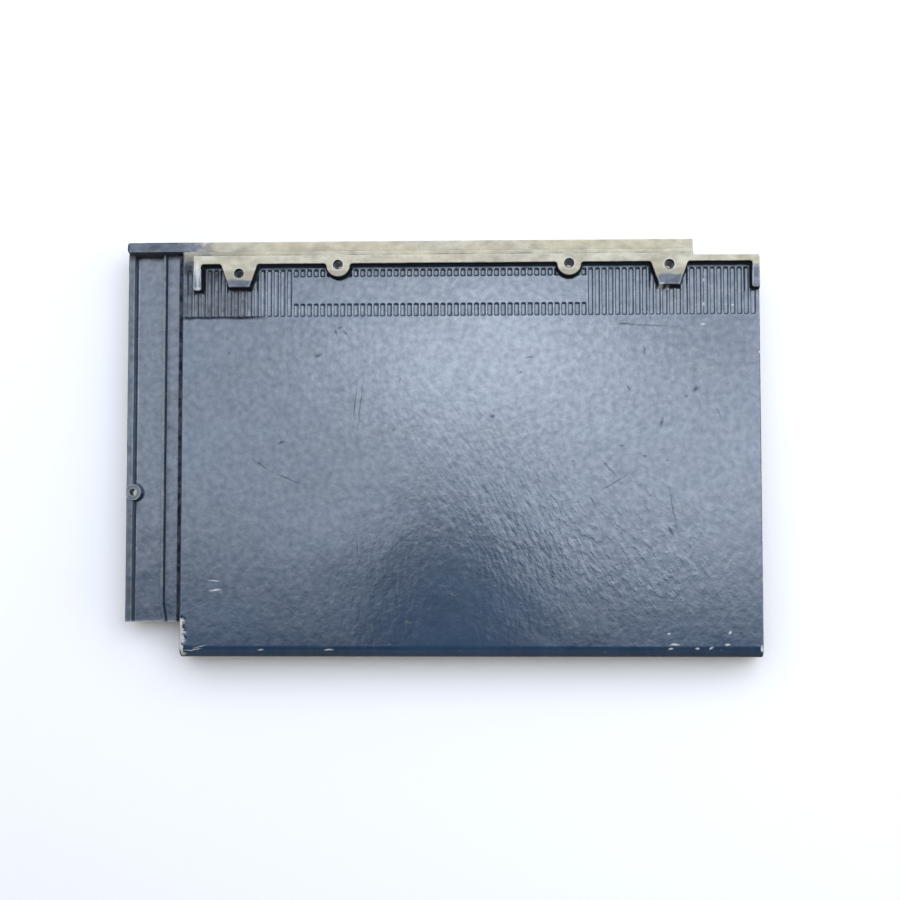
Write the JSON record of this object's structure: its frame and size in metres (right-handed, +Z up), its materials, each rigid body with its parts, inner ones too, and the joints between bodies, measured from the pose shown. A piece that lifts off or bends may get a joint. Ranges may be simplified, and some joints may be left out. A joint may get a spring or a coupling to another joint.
{
  "type": "flat interlocking clay roof tile",
  "caption": "Flat glazed roof tile with a side channel, a ribbed head band, a raised weather rib with nail bosses, and a rounded tail.",
  "frame": {"origin": "bottom centre of the tile's box, on the floor that it lies on", "axes": "+X across the tile from the side channel to the covering edge, +Y from the tail to the head, +Z up out of the glazed face"},
  "size_m": [0.497, 0.326, 0.049],
  "materials": {
    "glazed_clay": "dark blue satin glaze on fired clay, bare buff clay at the head"
  },
  "bodies": {
    "root": {"roof_tile": "glazed_clay"}
  },
  "joints": []
}
